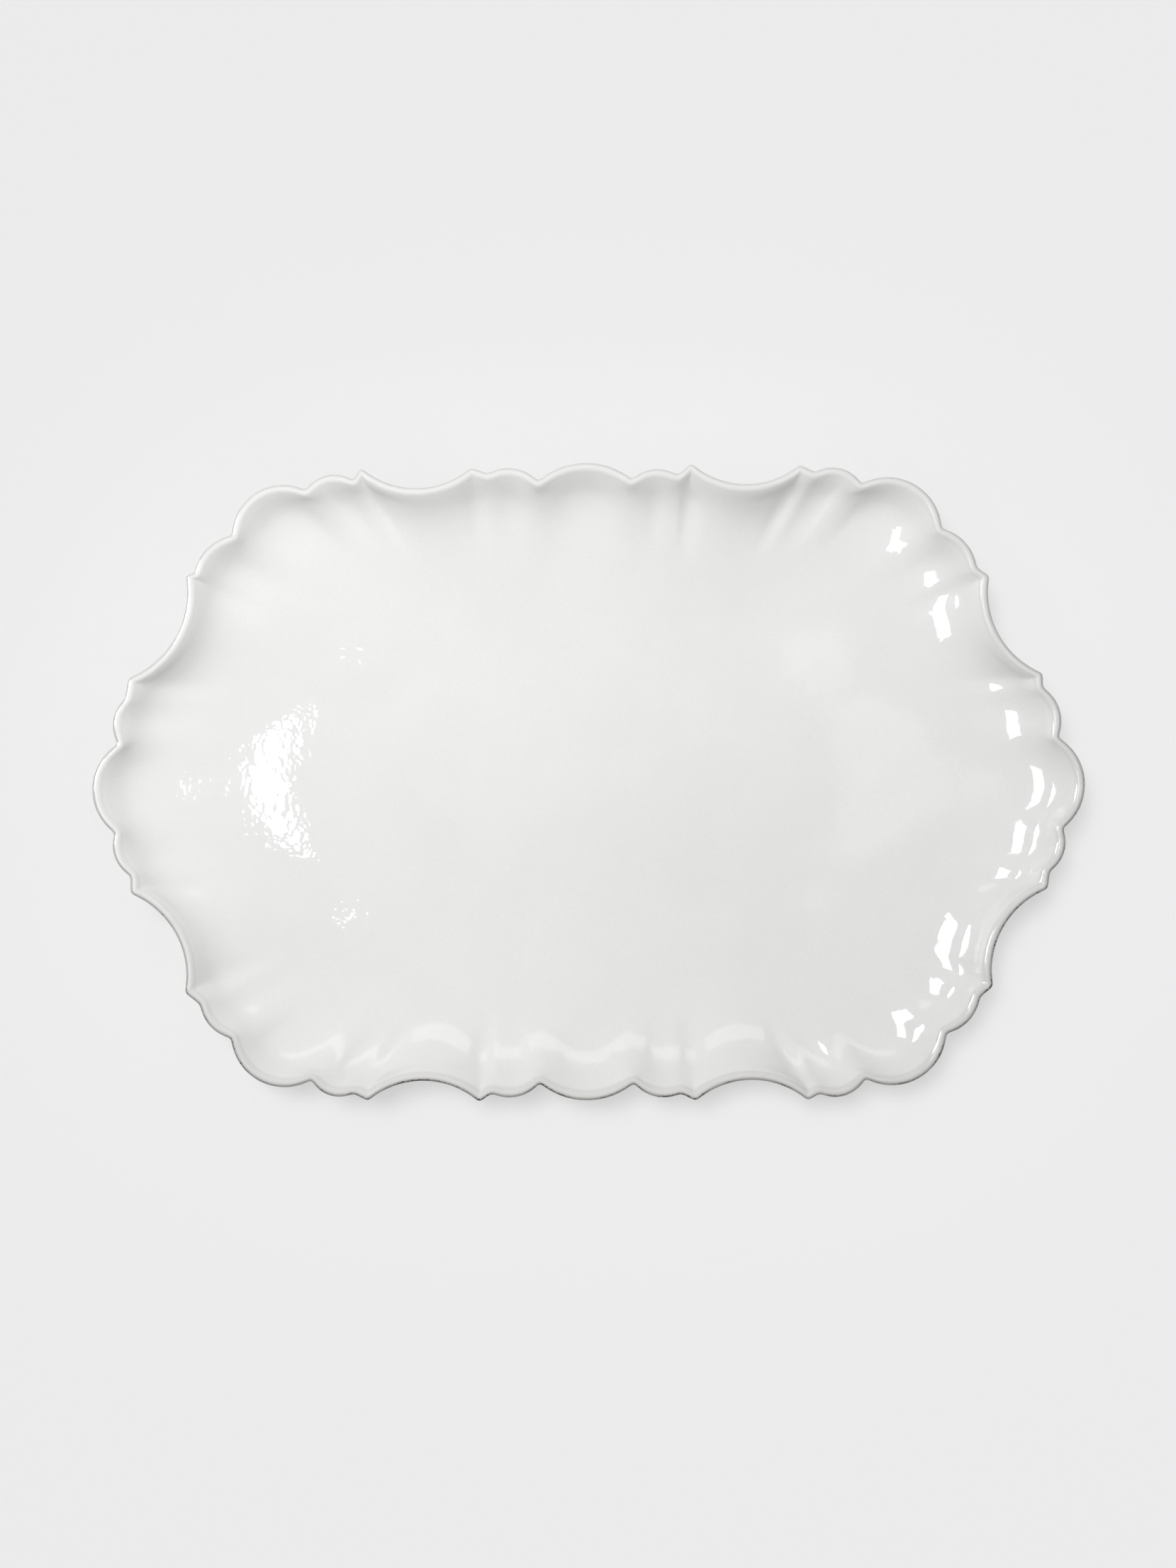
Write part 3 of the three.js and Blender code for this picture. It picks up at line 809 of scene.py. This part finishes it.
platterOnly = bpy.data.collections.new("platterOnly")
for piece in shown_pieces():
    platterOnly.objects.link(piece)
floorOnly = bpy.data.collections.new("floorOnly")
floorOnly.objects.link(floor)


def softSun(name, strength, across, lean):
    sun = bpy.data.objects.new(name, bpy.data.lights.new(name, "SUN"))
    bpy.context.scene.collection.objects.link(sun)
    sun.data.energy = strength
    sun.data.angle = math.radians(across)
    sun.rotation_euler = Vector(lean).to_track_quat("Z", "Y").to_euler()
    sun.visible_glossy = False
    return sun


# A panel's strength is set so that it glows with its radiance, whatever its size
def softPanel(name, at, aim, size, radiance, shape="RECTANGLE", spread=180):
    data = bpy.data.lights.new(name, "AREA")
    data.shape = shape
    data.size, data.size_y = size
    data.energy = radiance * math.pi * size[0] * size[1]
    data.spread = math.radians(spread)
    lamp = bpy.data.objects.new(name, data)
    bpy.context.scene.collection.objects.link(lamp)
    back = (Vector(at) - Vector(aim)).normalized()
    side = Vector((0, 1, 0)).cross(back).normalized()
    turn = Matrix((side, back.cross(side), back)).transposed().to_4x4()
    lamp.matrix_world = Matrix.Translation(at) @ turn
    lamp.visible_camera = False
    lamp.light_linking.receiver_collection = platterOnly
    return lamp


for name, settings in suns.items():
    sun = softSun(name, **settings)
    if name != "roomLight":
        sun.light_linking.receiver_collection = floorOnly
    if name == "floorFill":
        sun.light_linking.blocker_collection = floorOnly
for name, settings in panels.items():
    lamp = softPanel(name, **settings)
    lamp.visible_glossy = name != "wideBox"
    lamp.visible_diffuse = name == "wideBox"
print("made the card and", len(suns) + len(panels), "lights")

# Straight overhead
view = {
    "eye": (-0.0003, -0.0009, 1.655),
    "roll": -0.395,
    "lens": 80,
    "sensor": 36,
}
camera = bpy.data.cameras.new("camera")
camera.lens = view["lens"]
camera.sensor_width = view["sensor"]
eye = bpy.data.objects.new("camera", camera)
bpy.context.scene.collection.objects.link(eye)
eye.location = view["eye"]
eye.rotation_euler = (0, 0, math.radians(view["roll"]))
bpy.context.scene.camera = eye
bpy.context.scene.view_settings.view_transform = "Standard"
print("set the camera")
